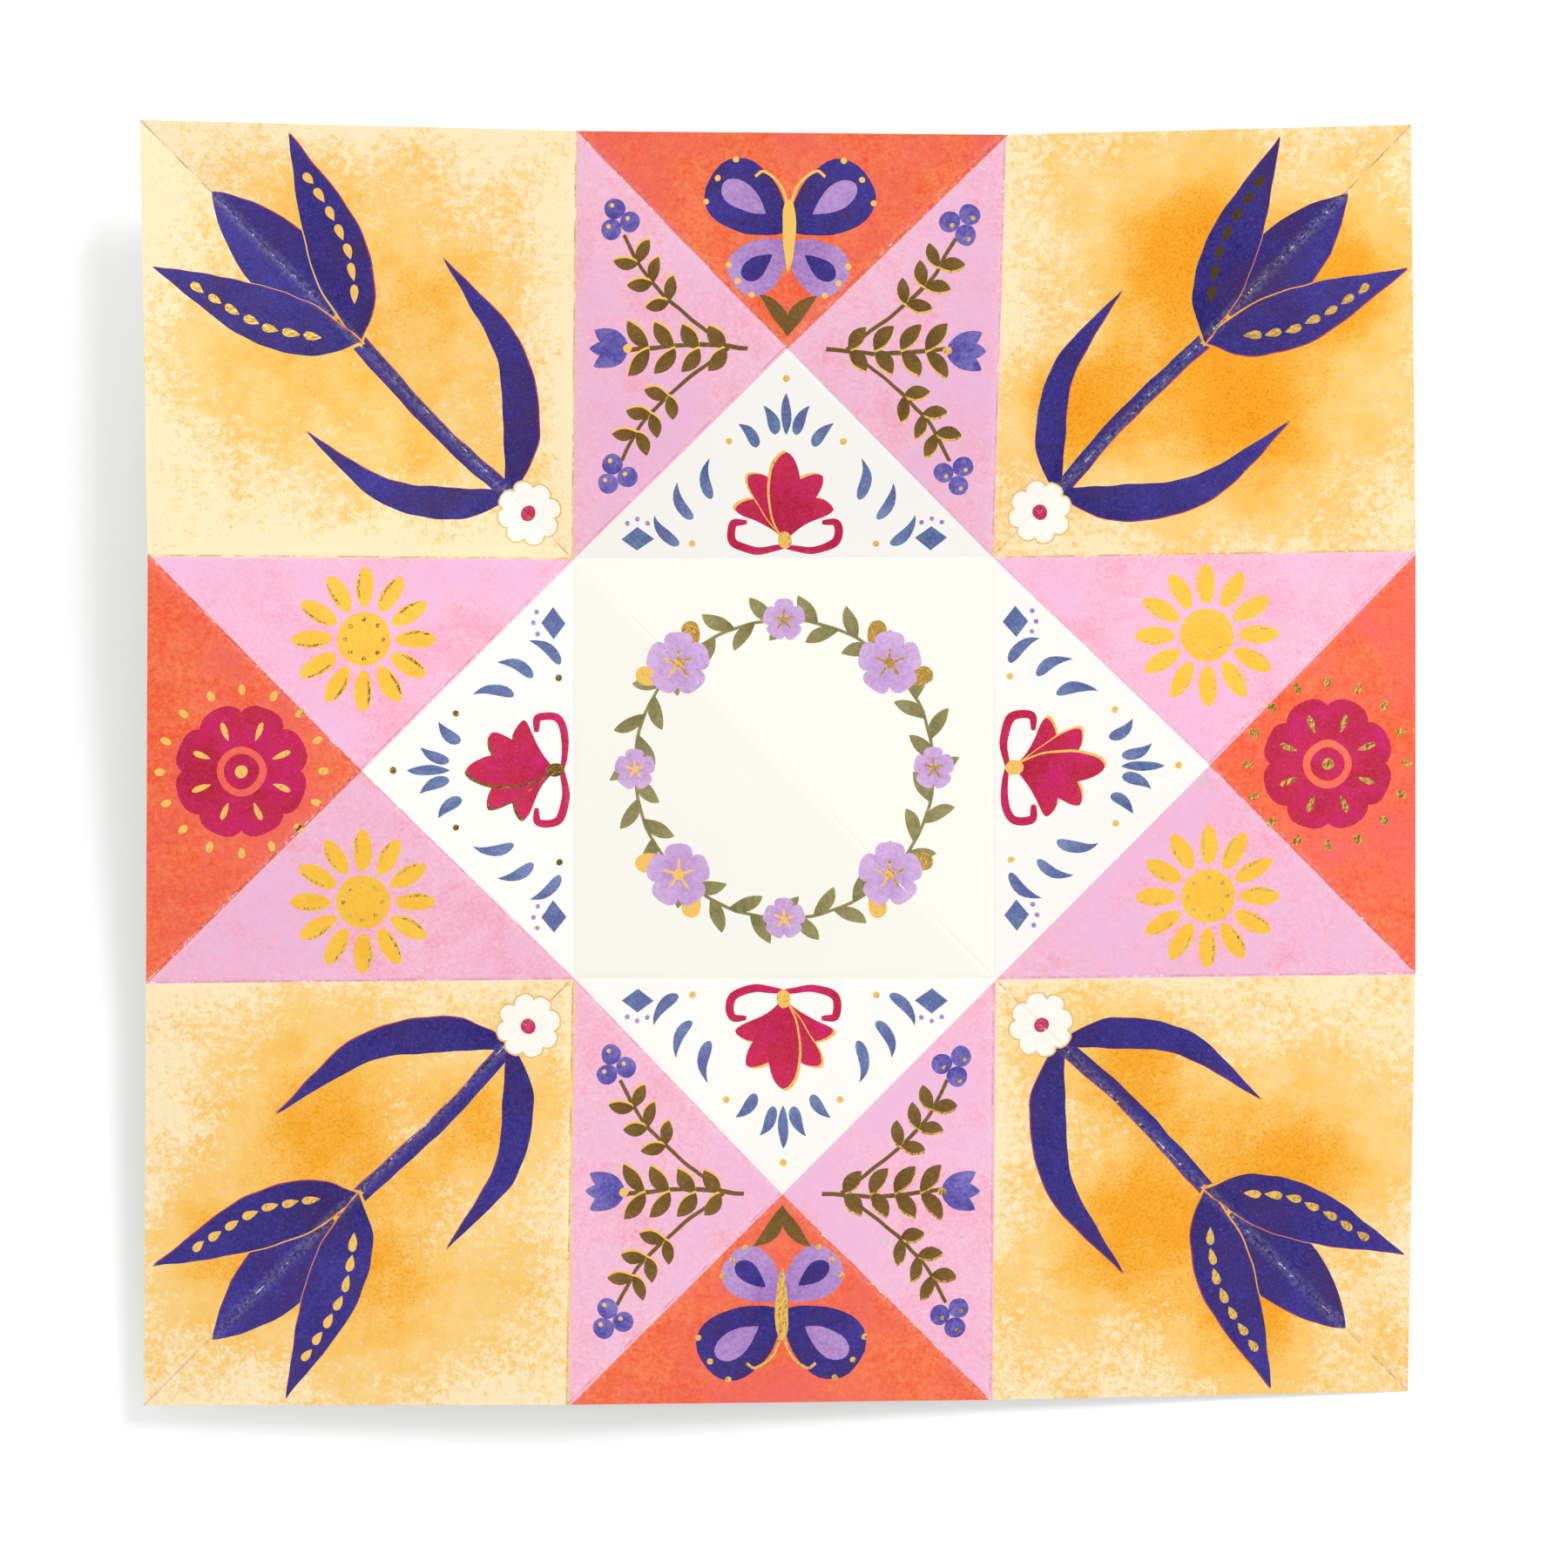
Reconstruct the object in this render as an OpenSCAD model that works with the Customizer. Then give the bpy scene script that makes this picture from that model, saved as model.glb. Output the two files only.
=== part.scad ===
// A square letter sheet that folds down to a pocket packet, opened out on a table.
// Folds in thirds both ways give nine square cells, and slanting folds cross the cells.
// The sheet has sprung part open, so its fold crossings stand at different heights.
// Its printed side is up: star points in flat colours, with simple folk figures on them.
// X runs to the reader's right, Y away from the reader and Z up from the table.

/* [Sheet] */
// Side of one of the nine square cells, and so the width of the folded packet
cell = 76; // [60:1:100]
// Thickness of the paper
paper_t = 0.16; // [0.1:0.02:0.4]

/* [Heights of the fold crossings, left to right] */
// Along the far edge of the sheet
far_edge = [22, 14, 25, 7]; // [0:0.5:30]
// Along the far fold
far_fold = [22, 0, 0, 4]; // [0:0.5:30]
// Along the near fold
near_fold = [11, 0, 6, 4]; // [0:0.5:30]
// Along the near edge of the sheet
near_edge = [7, 11, 4, 0]; // [0:0.5:30]
// Where the slanting folds cross in the far, right, near and left side cells
slant_crossings = [12.5, 9, 10, 12]; // [0:0.5:30]

/* [Twist left in the sheet] */
// Creep of each row of crossings to the right, from the far edge to the near one
row_creep = [0.8, -0.3, -0.3, -0.8]; // [-2:0.1:2]
// Creep of each column of crossings away from the reader, from left to right
column_creep = [-0.5, 0, 0.3, 1.2]; // [-2:0.1:2]

/* [Printed figures] */
// Length of the corner tulips, from the foot of the stem to the tip of the bloom
tulip_l = 75; // [50:1:90]
// Width of their blooms
bloom_w = 35; // [20:1:44]
// Width of the daisies at the foot of the tulips
foot_daisy_w = 12; // [6:1:16]
// Bare paper between these daisies and the inner corners of their cells
daisy_gap = 5; // [2:0.5:10]
// Width of the butterflies on the far and near coral points
butterfly_w = 33; // [20:1:38]
// Width of the rosettes on the left and right coral points
rosette_w = 25; // [16:1:30]
// Length of the branches on the far and near pink points
branch_l = 27; // [20:1:31]
// Thickness of their stems
branch_stem_w = 0.8; // [0.4:0.1:1.6]
// Bare paper between their tips and the edges of their cells
branch_gap = 3.5; // [2:0.5:8]
// Width of the golden daisies on the left and right pink points
gold_daisy_w = 26; // [16:1:28]
// Height of the palmettes on the white points
palmette_h = 17; // [10:1:22]
// Radius of the wreath in the middle cell
wreath_r = 27; // [18:1:31]
// Length of its leaves
wreath_leaf_l = 6.2; // [3:0.2:8]
// Number of its leaves
wreath_leaf_n = 44; // [20:4:60]

/* [Hidden] */
$fn = 32;
gold_spray = "#fcd284";
coral = "#f4694a";
pink = "#f7bcd4";
plain_white = "#fcf9f4";
ivory = "#fbf8ec";
violet = "#433a80";
lilac = "#a785c8";
magenta = "#cc2a55";
blue = "#5474ae";
olive = "#7c8048";
yellow = "#fdcd4c";
heights = [far_edge, far_fold, near_fold, near_edge];
// Row from the far edge and column from the left, clockwise round the sheet
corner_cells = [[0, 0], [0, 2], [2, 2], [2, 0]];
side_cells = [[0, 1], [1, 2], [2, 1], [1, 0]];
// From below the table to above the highest crossing
print_from = -1;
print_to = 1 + paper_t + max([for (row = heights) max(row)]) + max(slant_crossings);
// How much wider than itself a figure is cut out of the one beside it, which leaves a bare line between them
parting = 1.2;
// How far the figures on the star points lie from the crossing of the slanting folds
figure_y = 0.29 * cell;
// Where the corner daisies and the feet of the tulips lie
foot_daisy_y = daisy_gap + foot_daisy_w / 2 - cell * sqrt(2) / 2;
tulip_foot_y = foot_daisy_y + 0.54 * foot_daisy_w;
// Where the branches spring from, and how far their side stems lean
branch_root_y = cell / 2 - branch_gap - branch_l;
branch_lean = 38;

// A cell keeps its side as it tilts, so it reaches less far across the table
function reach(rise) = sqrt(cell * cell - rise * rise);

// Distance of crossing i from the middle of a line of four that stand at heights h
function along(h, i) =
    let (middle = reach(h[2] - h[1]) / 2)
    i == 0 ? -middle - reach(h[1] - h[0]) :
    i == 1 ? -middle :
    i == 2 ? middle :
    middle + reach(h[3] - h[2]);

// The crossing in row j and column i
function crossing(j, i) = [
    along(heights[j], i) + row_creep[j],
    column_creep[i] - along([for (row = heights) row[i]], j),
    heights[j][i]
];

// The corners of a cell, clockwise from its far left one
function corners(c) = [
    crossing(c[0], c[1]),
    crossing(c[0], c[1] + 1),
    crossing(c[0] + 1, c[1] + 1),
    crossing(c[0] + 1, c[1])
];

// The middle of a cell, seen from above
function cell_middle(c) = [1, 1, 1, 1] * corners(c) / 4;

// The place over the middle of a cell where its two slanting folds cross
function slant_crossing(c, height) = [cell_middle(c)[0], cell_middle(c)[1], height];

// The middle of the sheet's outline, which stands over the origin
function middle_of(values) = (min(values) + max(values)) / 2;
outline = [for (j = [0:3], i = [0:3]) crossing(j, i)];
outline_middle = [for (k = [0, 1]) middle_of([for (p = outline) p[k]])];

// A petal or leaf that grows along Y from the origin. A blunt of 1 gives a sharp tip, and less a round one.
module petal(l, w, blunt = 1) {
    steps = l < cell / 8 ? 5 : 8;
    right = [for (k = [0 : steps]) [w / 2 * pow(sin(180 * pow(k / steps, 1.3)), blunt), l * k / steps]];
    left = [for (k = [steps - 1 : -1 : 1]) [-right[k][0], right[k][1]]];
    polygon(concat(right, left));
}

// Petals all round the origin, from an inner radius to an outer one
module petals(count, inner_r, outer_r, w, blunt = 1) {
    for (k = [0 : count - 1])
        rotate(360 / count * k) translate([0, inner_r]) petal(outer_r - inner_r, w, blunt);
}

// A straight stem along Y
module stem(from_y, to_y, w) {
    translate([-w / 2, from_y]) square([w, to_y - from_y]);
}

// Each figure is drawn round the middle of its cell, with Y to the edge or corner of the sheet.
// The bloom has a middle petal and two side ones, parted by narrow slits.
module tulip() {
    bloom_l = 0.43 * tulip_l;
    neck_y = tulip_foot_y + tulip_l - bloom_l;
    stem(tulip_foot_y, neck_y + bloom_l / 4, 0.08 * bloom_w);
    for (side = [-1, 1])
        translate([0, tulip_foot_y]) rotate(31 * side) petal(0.55 * tulip_l, 0.26 * bloom_w);
    translate([0, neck_y]) {
        petal(bloom_l, 0.3 * bloom_w, 0.8);
        difference() {
            for (side = [-1, 1]) rotate(23 * side) petal(bloom_l, 0.46 * bloom_w, 0.8);
            petal(1.1 * bloom_l, 0.36 * bloom_w, 0.8);
        }
    }
}

module foot_daisy() {
    translate([0, foot_daisy_y]) petals(8, 0, foot_daisy_w / 2, 0.4 * foot_daisy_w, 0.6);
}

module wings(lean, l, w) {
    for (side = [-1, 1]) translate([0, figure_y]) rotate(lean * side) petal(l, w, 0.7);
}

// The upper wings, and the body between them
module butterfly_upper(wider = 1) {
    wings(52, 0.55 * butterfly_w, 0.38 * butterfly_w * wider);
    translate([0, figure_y - 0.2 * butterfly_w]) petal(0.42 * butterfly_w, 0.08 * butterfly_w * wider);
}

module butterfly_lower() {
    difference() {
        wings(130, 0.4 * butterfly_w, 0.28 * butterfly_w);
        butterfly_upper(parting);
    }
}

module rosette() {
    translate([0, figure_y]) {
        circle(0.11 * rosette_w);
        petals(8, 0.16 * rosette_w, rosette_w / 2, 0.3 * rosette_w, 0.7);
    }
}

// A stem with four pairs of leaves, along Y from the origin
module sprig(l) {
    stem(0, l, branch_stem_w);
    for (k = [1 : 4], side = [-1, 1]) translate([0, 0.2 * k * l]) rotate(52 * side) petal(0.2 * l, 0.1 * l);
}

module branch_leaves() {
    translate([0, branch_root_y]) {
        sprig(branch_l);
        for (side = [-1, 1]) rotate(branch_lean * side) sprig(0.9 * branch_l);
    }
}

module branch_berries() {
    for (side = [-1, 1])
        translate([0, branch_root_y]) rotate(branch_lean * side)
            translate([0, 1.02 * branch_l]) circle(0.1 * branch_l);
}

module golden_daisy() {
    translate([0, figure_y]) {
        circle(0.18 * gold_daisy_w);
        petals(12, 0.21 * gold_daisy_w, gold_daisy_w / 2, 0.12 * gold_daisy_w, 0.8);
    }
}

module palmette_fan() {
    translate([0, 0.04 * cell - cell / 2])
        for (lean = [-58, -30, 0, 30, 58])
            rotate(lean) petal(palmette_h * (1 - abs(lean) / 160), 0.3 * palmette_h, 0.8);
}

module palmette_commas() {
    for (side = [-1, 1], k = [0 : 2])
        translate([side * (1.25 - 0.22 * k) * palmette_h, (0.2 + 0.3 * k) * palmette_h - cell / 2])
            rotate((62 - 26 * k) * side) petal(0.42 * palmette_h, 0.12 * palmette_h);
}

// Eight blossoms round the wreath, big ones towards the corners of the cell
module wreath_blossoms(wider = 1) {
    for (k = [0 : 7]) {
        r = wreath_leaf_l * (k % 2 == 0 ? 0.6 : 0.9) * wider;
        rotate(45 * k) translate([wreath_r, 0]) petals(5, 0, r, 0.8 * r, 0.7);
    }
}

// The vine and its leaves, which stop short of the blossoms
module wreath_leaves() {
    half_vine = 0.04 * wreath_leaf_l;
    difference() {
        union() {
            difference() {
                circle(wreath_r + half_vine);
                circle(wreath_r - half_vine);
            }
            for (k = [1 : wreath_leaf_n])
                rotate(360 / wreath_leaf_n * k) translate([wreath_r, 0]) rotate(k % 2 == 0 ? -42 : 42)
                    petal(wreath_leaf_l, 0.42 * wreath_leaf_l);
        }
        wreath_blossoms(parting);
    }
}

// The upright column through the paper that a flat figure covers, turned about the middle of a cell
module column(c, turn) {
    translate([cell_middle(c)[0], cell_middle(c)[1], print_from])
        rotate(turn) linear_extrude(print_to - print_from) children();
}

// One flat panel of paper between three folds or edges
module panel(a, b, c) {
    under = cross(b - a, c - a)[2] > 0 ? [a, b, c] : [a, c, b];
    over = [for (p = under) p + [0, 0, paper_t]];
    polyhedron(
        points = concat(under, over),
        faces = [[0, 1, 2], [5, 4, 3], [0, 3, 4, 1], [1, 4, 5, 2], [2, 5, 3, 0]]
    );
}

// The paper of a cell with one fold, from its corner k to the opposite one
module folded_once(c, k) {
    p = corners(c);
    panel(p[k], p[(k + 1) % 4], p[(k + 2) % 4]);
    panel(p[k], p[(k + 2) % 4], p[(k + 3) % 4]);
}

// The first child is paper in the ground colour. Each other one is a flat figure, printed in its own ink.
module printed(c, turn, ground, inks) {
    color(ground) difference() {
        children(0);
        for (i = [1 : $children - 1]) column(c, turn) children(i);
    }
    for (i = [1 : $children - 1])
        color(inks[i - 1]) intersection() {
            children(0);
            column(c, turn) children(i);
        }
}

// The corner cell at corner k, with a tulip along its fold
module gold_cell(k) {
    c = corner_cells[k];
    printed(c, 45 - 90 * k, gold_spray, [violet, plain_white]) {
        folded_once(c, k);
        tulip();
        foot_daisy();
    }
}

// A side cell, folded corner to corner both ways, with its outer edge after corner k
module star_cell(k) {
    c = side_cells[k];
    turn = -90 * k;
    p = corners(c);
    middle = slant_crossing(c, slant_crossings[k]);
    far_or_near = k % 2 == 0;
    if (far_or_near)
        printed(c, turn, coral, [violet, lilac]) {
            panel(middle, p[k], p[(k + 1) % 4]);
            butterfly_upper();
            butterfly_lower();
        }
    else
        printed(c, turn, coral, [magenta]) {
            panel(middle, p[k], p[(k + 1) % 4]);
            rosette();
        }
    for (side = [-1, 1]) {
        i = (k - side + 4) % 4;
        if (far_or_near)
            printed(c, turn + 90 * side, pink, [olive, blue]) {
                panel(middle, p[i], p[(i + 1) % 4]);
                branch_leaves();
                branch_berries();
            }
        else
            printed(c, turn + 90 * side, pink, [yellow]) {
                panel(middle, p[i], p[(i + 1) % 4]);
                golden_daisy();
            }
    }
    printed(c, turn, plain_white, [magenta, blue]) {
        panel(middle, p[(k + 2) % 4], p[(k + 3) % 4]);
        palmette_fan();
        palmette_commas();
    }
}

// The middle cell, with the wreath round the place for writing
module middle_cell() {
    c = [1, 1];
    printed(c, 0, ivory, [olive, lilac]) {
        folded_once(c, 0);
        wreath_leaves();
        wreath_blossoms();
    }
}

module note_sheet() {
    translate([-outline_middle[0], -outline_middle[1], 0]) {
        middle_cell();
        for (k = [0:3]) {
            gold_cell(k);
            star_cell(k);
        }
    }
}

note_sheet();
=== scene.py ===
import cmath
import math

import bpy
import numpy as np
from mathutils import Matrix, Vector, kdtree
from mathutils.geometry import delaunay_2d_cdt


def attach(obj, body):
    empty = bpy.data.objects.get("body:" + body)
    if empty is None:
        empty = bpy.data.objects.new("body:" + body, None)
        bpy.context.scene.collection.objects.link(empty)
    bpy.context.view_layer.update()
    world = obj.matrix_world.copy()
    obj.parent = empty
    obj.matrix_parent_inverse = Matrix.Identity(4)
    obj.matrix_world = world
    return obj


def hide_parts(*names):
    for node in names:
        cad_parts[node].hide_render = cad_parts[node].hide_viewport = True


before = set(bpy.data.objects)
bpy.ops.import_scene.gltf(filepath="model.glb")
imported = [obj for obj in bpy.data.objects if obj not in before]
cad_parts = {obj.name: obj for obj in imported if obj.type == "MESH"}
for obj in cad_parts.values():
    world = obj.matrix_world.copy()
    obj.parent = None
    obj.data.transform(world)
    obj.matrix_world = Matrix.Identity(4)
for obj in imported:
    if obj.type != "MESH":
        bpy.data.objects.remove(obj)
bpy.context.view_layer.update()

# The sheet's folds: a square of heavy writing paper, folded by hand in thirds both ways and slantwise.
# A flat place on it is a complex number in mm from its middle, real to the right, imaginary away.
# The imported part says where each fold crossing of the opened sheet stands.
MM = 0.001
SHEET = "note_sheet"
CELL = 76
HALF = 1.5 * CELL
INNER = CELL / 2


def side_turns():
    """The quarter turns, clockwise from the far side."""
    return [(-1j) ** k for k in range(4)]


def packed_places():
    """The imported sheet's vertices, in mm."""
    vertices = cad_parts[SHEET].data.vertices
    places = np.empty(len(vertices) * 3)
    vertices.foreach_get("co", places)
    return places.reshape(-1, 3) / MM


def standing(crossing):
    """Where the printed side of a fold crossing stands, in mm: the top packed vertex near it."""
    off = packed[:, 0] + 1j * packed[:, 1] - crossing
    near = packed[abs(off) < CELL / 6]
    return near[near[:, 2].argmax()]


def panel_corners():
    """The flat corners of the 26 panels between the folds."""
    panels = []
    for row in range(3):
        for column in range(3):
            middle = complex(column - 1, 1 - row) * CELL
            corners = [middle + complex(x, y) * INNER for x, y in ((-1, 1), (1, 1), (1, -1), (-1, -1))]
            if (row + column) % 2:
                panels += [(middle, corners[k], corners[(k + 1) % 4]) for k in range(4)]
            else:
                k = 0 if row == column else 1
                far_side = [corners[k], corners[k + 1], corners[k + 2]]
                near_side = [corners[k], corners[k + 2], corners[(k + 3) % 4]]
                panels += [tuple(far_side), tuple(near_side)]
    return np.array(panels)


def fold_lines():
    """The two ends of every fold."""
    ends = []
    for turn in side_turns():
        ends.append((complex(-HALF, INNER) * turn, complex(HALF, INNER) * turn))
        ends.append((complex(-INNER, HALF) * turn, complex(HALF, -INNER) * turn))
        ends.append((complex(-HALF, HALF) * turn, complex(-INNER, INNER) * turn))
    ends.append((complex(-INNER, INNER), complex(INNER, -INNER)))
    return ends


packed = packed_places()
panels = panel_corners()
panels_standing = np.array([[standing(corner) for corner in panel] for panel in panels])
folds = fold_lines()

# The colour fields: coral, pink and white star points round the middle cell, and gold corners.
# They are matt inks that have sunk into the paper, brushed or sprayed on by hand before it was folded,
# so the print lies a few tenths of a millimetre off the folds and has flaked off along them.
BLEED = 3  # how far the ink runs past the trimmed edge
PRINT_SLIP = 0.35 - 0.25j  # how far the print lies off the folds
BARE = "#f8f5ee"  # the paper where the ink has flaked off
HAND = 0.13  # how far the painter's hand wanders
SUNK = 0.2  # the faint gloss of ink that has sunk in
printed = []  # each shape as its ink, outline and wash, the last one topmost


def by_hand(line):
    """The line with the small wander of a painter's hand."""
    x, y = line.real, line.imag
    sideways = np.sin(x / 1.7 + 1.9 * np.sin(y / 2.9)) + 0.6 * np.sin(y / 0.9 + x / 3.1)
    along = np.cos(y / 1.6 + 1.7 * np.sin(x / 2.5)) + 0.6 * np.sin(x / 0.8 - y / 2.7)
    return line + HAND * (sideways + 1j * along) / 1.6


def lay(hue, outline, cell=(0, 1), wash=None):
    """Prints one shape over the last. cell is the middle of its cell and the turn of the motif, and
    wash the line from the shape's darker end to its paler one."""
    middle, turn = cell
    outline = by_hand(middle + np.asarray(outline, complex) * turn)
    if wash is not None:
        wash = middle + np.asarray(wash, complex) * turn
    printed.append((hue, outline, wash))


def colour(code):
    """A linear colour from an sRGB hex value."""
    values = [int(code[i : i + 2], 16) / 255 for i in (1, 3, 5)]
    return [v / 12.92 if v <= 0.04045 else ((v + 0.055) / 1.055) ** 2.4 for v in values] + [1.0]


def add(tree, kind, sockets, **settings):
    """Adds a node with its settings. A socket is given a value, or an output to read from."""
    made = tree.nodes.new(kind)
    for name, value in settings.items():
        setattr(made, name, value)
    for name, value in sockets.items():
        if isinstance(value, bpy.types.Node):
            value = next(out for out in value.outputs if out.enabled)
        if isinstance(value, bpy.types.NodeSocket):
            tree.links.new(value, made.inputs[name])
        else:
            made.inputs[name].default_value = value
    return made


def started(name, roughness, ior):
    """A new material with its node tree, its surface and its places on the object."""
    material = bpy.data.materials.new(name)
    material.use_nodes = True
    tree = material.node_tree
    surface = tree.nodes["Principled BSDF"]
    surface.inputs["Roughness"].default_value = roughness
    surface.inputs["IOR"].default_value = ior
    place = add(tree, "ShaderNodeTexCoord", {}).outputs["Object"]
    return material, tree, surface, place


def grained(tree, surface, place, depth):
    """The felt-marked face of the paper as a bump, about half a millimetre from grain to grain."""
    grain = add(tree, "ShaderNodeTexNoise", {"Vector": place, "Scale": 1 / (0.6 * MM), "Detail": 3.0})
    bump = add(tree, "ShaderNodeBump", {"Height": grain, "Distance": depth * MM, "Strength": 1.0})
    tree.links.new(bump.outputs["Normal"], surface.inputs["Normal"])
    return grain


def worn_and_crease_shaded(tree, place, hue, deep, rubbed):
    """The hue as the folds have worn it: a little paler beside them and flaked off to bare paper here and
    there along it, with a line of painted shade darkening it in patches in the crease."""
    fold = add(tree, "ShaderNodeAttribute", {}, attribute_name="fold_mm").outputs["Fac"]
    ragged = add(tree, "ShaderNodeTexNoise", {"Vector": place, "Scale": 1 / (0.7 * MM), "Detail": 4.0,
                                              "Roughness": 0.7})
    streaky = add(tree, "ShaderNodeMapRange", {"Value": ragged, "From Min": 0.4, "From Max": 0.68,
                                               "To Max": rubbed})
    close = add(tree, "ShaderNodeMapRange", {"Value": fold, "From Min": 1.7, "From Max": 0.2},
                interpolation_type="SMOOTHSTEP")
    rub = add(tree, "ShaderNodeMath", {0: streaky, 1: close}, operation="MULTIPLY")
    hue = add(tree, "ShaderNodeMix", {0: rub, 6: hue, 7: colour(BARE)}, data_type="RGBA")
    # Painted shade in the crease: within a quarter millimetre of the fold the hue darkens, in patches, to the
    # deep one.
    patchy = add(tree, "ShaderNodeTexNoise", {"Vector": place, "Scale": 1 / (4 * MM), "Detail": 3.0})
    painted_crease_shade = add(tree, "ShaderNodeMapRange", {"Value": patchy, "From Min": 0.35, "From Max": 0.6,
                                               "To Max": 0.6})
    line = add(tree, "ShaderNodeMapRange", {"Value": fold, "From Min": 0.24, "From Max": 0.06})
    painted_crease_shade = add(tree, "ShaderNodeMath", {0: painted_crease_shade, 1: line}, operation="MULTIPLY")
    hue = add(tree, "ShaderNodeMix", {0: painted_crease_shade, 6: hue, 7: colour(deep)}, data_type="RGBA")
    broken = add(tree, "ShaderNodeTexNoise", {"Vector": place, "Scale": 1 / (5 * MM), "Detail": 6.0,
                                              "Roughness": 0.85})
    broken = add(tree, "ShaderNodeMapRange", {"Value": broken, "From Min": 0.5, "From Max": 0.66,
                                              "To Max": 0.13})
    edge = add(tree, "ShaderNodeMapRange", {"Value": ragged, "From Min": 0.6, "From Max": 0.74,
                                            "To Max": 0.34})
    edge = add(tree, "ShaderNodeMath", {0: edge, 1: broken}, operation="ADD")
    gone = add(tree, "ShaderNodeMath", {0: fold, 1: edge}, operation="SUBTRACT")
    gone = add(tree, "ShaderNodeMapRange", {"Value": gone, "From Min": 0.0, "From Max": -0.06})
    return add(tree, "ShaderNodeMix", {0: gone, 6: hue, 7: colour(BARE)}, data_type="RGBA")


def ink(name, deep, pale, roughness=0.5, rubbed=0.14, flecks=0.25, crease_shade_hue=None, turned=None, patch=25,
        blots=None, grit=1.0):
    """Matt ink that has sunk into the paper: brushed unevenly, grained with the paper, and paler towards
    the end of each stroke. It turns to a second hue in patches, patch mm wide, and blots are rare spots
    of a third. rubbed and flecks say how much paper shows beside the folds and as fine specks, and grit
    how strong the stipple is."""
    material, tree, surface, place = started(name, roughness, 1.45)
    surface.inputs["Specular IOR Level"].default_value = SUNK
    grain = grained(tree, surface, place, 0.03)
    tone = add(tree, "ShaderNodeAttribute", {}, attribute_name="tone").outputs["Fac"]
    mottle = add(tree, "ShaderNodeTexNoise", {"Vector": place, "Scale": 1 / (11 * MM), "Detail": 6.0,
                                              "Roughness": 0.7})
    load = add(tree, "ShaderNodeMath", {0: mottle, 1: 2.6, 2: tone}, operation="MULTIPLY_ADD")
    load = add(tree, "ShaderNodeMath", {0: grain, 1: 2.2, 2: load}, operation="MULTIPLY_ADD")
    gritty = add(tree, "ShaderNodeTexNoise", {"Vector": place, "Scale": 1 / (1.4 * MM), "Detail": 4.0,
                                              "Roughness": 0.85})
    gritty = add(tree, "ShaderNodeMapRange", {"Value": gritty, "To Min": -grit, "To Max": grit})
    load = add(tree, "ShaderNodeMath", {0: load, 1: gritty}, operation="ADD")
    load = add(tree, "ShaderNodeMapRange", {"Value": load, "From Min": 2.0, "From Max": 3.75})
    hue = add(tree, "ShaderNodeMix", {0: load, 6: colour(deep), 7: colour(pale)}, data_type="RGBA")
    if turned:
        drift = add(tree, "ShaderNodeTexNoise", {"Vector": place, "Scale": 1 / (patch * MM), "Detail": 7.0,
                                                 "Roughness": 0.72})
        drift = add(tree, "ShaderNodeMapRange", {"Value": drift, "From Min": 0.46, "From Max": 0.62,
                                                 "To Max": 0.85})
        hue = add(tree, "ShaderNodeMix", {0: drift, 6: hue, 7: colour(turned)}, data_type="RGBA")
    if blots:
        spot = add(tree, "ShaderNodeTexNoise", {"Vector": place, "Scale": 1 / (9 * MM), "Detail": 6.0,
                                                "Roughness": 0.7})
        spot = add(tree, "ShaderNodeMapRange", {"Value": spot, "From Min": 0.67, "From Max": 0.73,
                                                "To Max": 0.7})
        hue = add(tree, "ShaderNodeMix", {0: spot, 6: hue, 7: colour(blots)}, data_type="RGBA")
    speck = add(tree, "ShaderNodeTexNoise", {"Vector": place, "Scale": 1 / (0.32 * MM), "Detail": 2.0})
    speck = add(tree, "ShaderNodeMapRange", {"Value": speck, "From Min": 0.58, "From Max": 0.85,
                                             "To Max": flecks})
    hue = add(tree, "ShaderNodeMix", {0: speck, 6: hue, 7: colour(BARE)}, data_type="RGBA")
    # The folds wear the hue paler and flake it to bare paper, and a line of painted shade, in the given crease
    # hue or else the deep one, darkens the crease.
    hue = worn_and_crease_shaded(tree, place, hue, crease_shade_hue or deep, rubbed)
    tree.links.new(hue.outputs[2], surface.inputs["Base Color"])
    return material


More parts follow.
